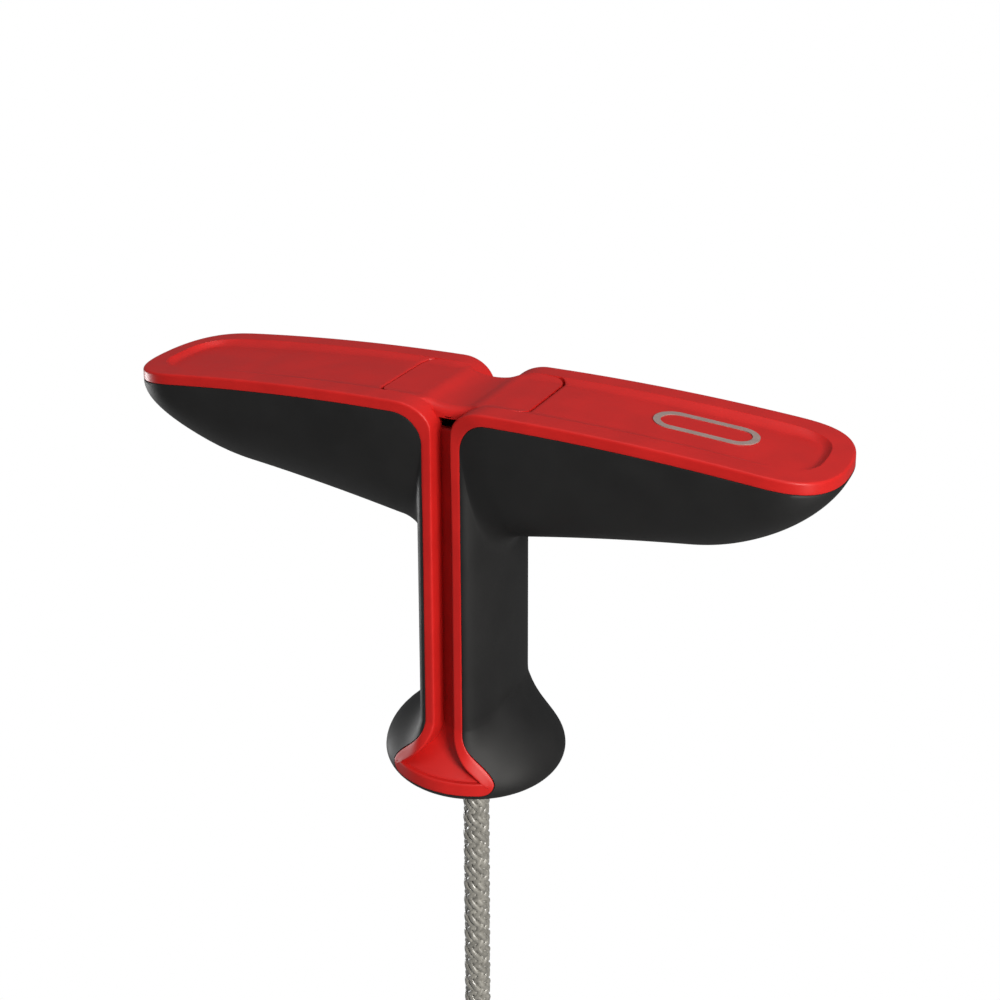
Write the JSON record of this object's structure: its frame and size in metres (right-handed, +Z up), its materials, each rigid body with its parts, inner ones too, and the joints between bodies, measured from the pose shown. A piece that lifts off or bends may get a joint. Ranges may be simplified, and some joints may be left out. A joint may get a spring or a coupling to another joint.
{
  "type": "rope pull handle",
  "caption": "T-shaped pull handle with a recessed top plate over soft dark grips, a flared foot and a braided rope held by a knot under a snap cover.",
  "frame": {"origin": "on the rope axis, in the middle of the bar where a hand holds it, 10 mm below the crown of the top plate", "axes": "+X along the bar, +Y across it, +Z up the stem away from the rope"},
  "size_m": [0.12, 0.03, 0.1357],
  "materials": {
    "red_plastic": "satin moulded red plastic",
    "soft_grip": "fine matt soft-touch black",
    "black_plastic": "satin black",
    "grey_inlay": "printed grey",
    "washer_steel": "plain stamped",
    "braided_rope": "braided synthetic cord"
  },
  "bodies": {
    "handle": {"frame": "red_plastic", "grip_left": "soft_grip", "grip_right": "soft_grip", "bell_cap": "black_plastic", "panel_mark": "grey_inlay"},
    "cover": {"knot_cover": "red_plastic"},
    "line": {"rope": "braided_rope", "rope_inside": "braided_rope", "rope_knot": "braided_rope", "rope_end_knot": "braided_rope", "knot_washer": "washer_steel"}
  },
  "joints": [
    {"name": "rope_swivel", "type": "hinge", "parent": "handle", "child": "line", "pos_m": [0, 0, 0], "axis": [0, 0, 1], "continuous": true},
    {"name": "knot_cover_lift", "type": "slide", "parent": "handle", "child": "cover", "axis": [0, 0, 1], "range_m": [0, 0.02]}
  ]
}
